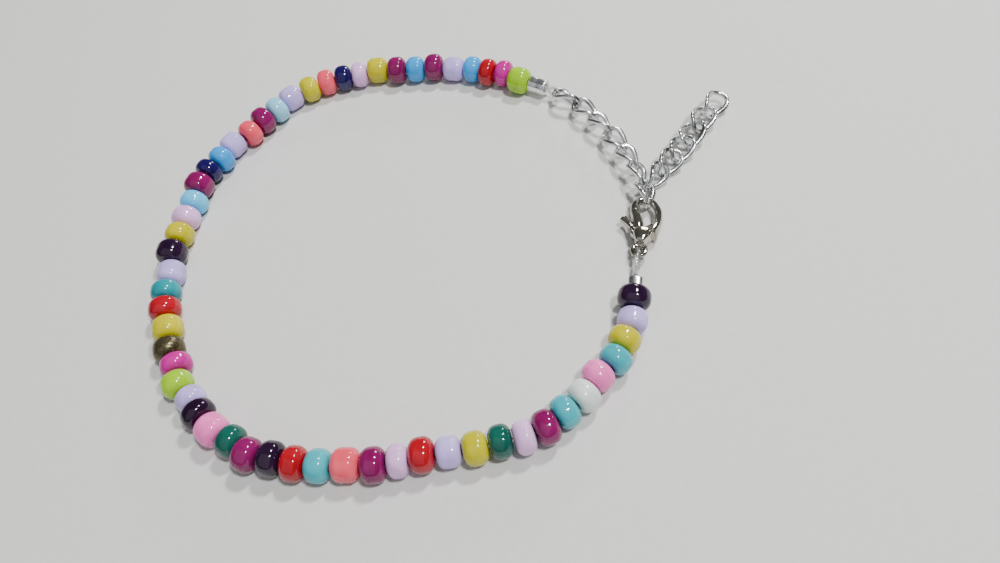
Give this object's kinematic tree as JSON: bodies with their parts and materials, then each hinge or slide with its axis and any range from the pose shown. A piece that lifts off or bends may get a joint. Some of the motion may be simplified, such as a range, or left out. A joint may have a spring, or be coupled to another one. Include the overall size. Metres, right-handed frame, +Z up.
{
  "type": "beaded anklet",
  "caption": "Loop of glass seed beads in mixed colours with a lobster clasp and an extender chain, lying closed on a surface.",
  "frame": {"origin": "middle of the anklet's box in plan, on the surface that it lies on", "axes": "+X towards the clasp and the chain's free end, +Y towards the chain end of the bead string, +Z up from the surface"},
  "size_m": [0.0824, 0.0692, 0.0041],
  "materials": {
    "glass_beads": "glossy opaque glass, each bead in one of 19 colours",
    "silver_plate": "polished silver plate",
    "clear_nylon": "clear nylon thread",
    "polished_nickel": "polished nickel"
  },
  "bodies": {
    "anklet": {"bead_string": "glass_beads", "chain_crimp": "silver_plate", "chain_link_1": "silver_plate", "chain_link_2": "silver_plate", "chain_link_3": "silver_plate", "chain_link_4": "silver_plate", "chain_link_5": "silver_plate", "chain_link_6": "silver_plate", "chain_thread": "clear_nylon", "clasp_body": "polished_nickel", "clasp_crimp": "silver_plate", "clasp_thread": "clear_nylon", "hooked_link": "silver_plate", "tail_link_1": "silver_plate", "tail_link_2": "silver_plate", "tail_link_3": "silver_plate", "tail_link_4": "silver_plate", "tail_link_5": "silver_plate", "tail_link_6": "silver_plate"},
    "lever": {"clasp_lever": "polished_nickel"}
  },
  "joints": [
    {"name": "lever_hinge", "type": "hinge", "parent": "anklet", "child": "lever", "pos_m": [0.02292, -0.00902, 0.0013], "axis": [0, 0, -1], "range_deg": [0, 22], "stiffness_Nm_per_rad": 0.006, "springref_deg": -14.32}
  ]
}
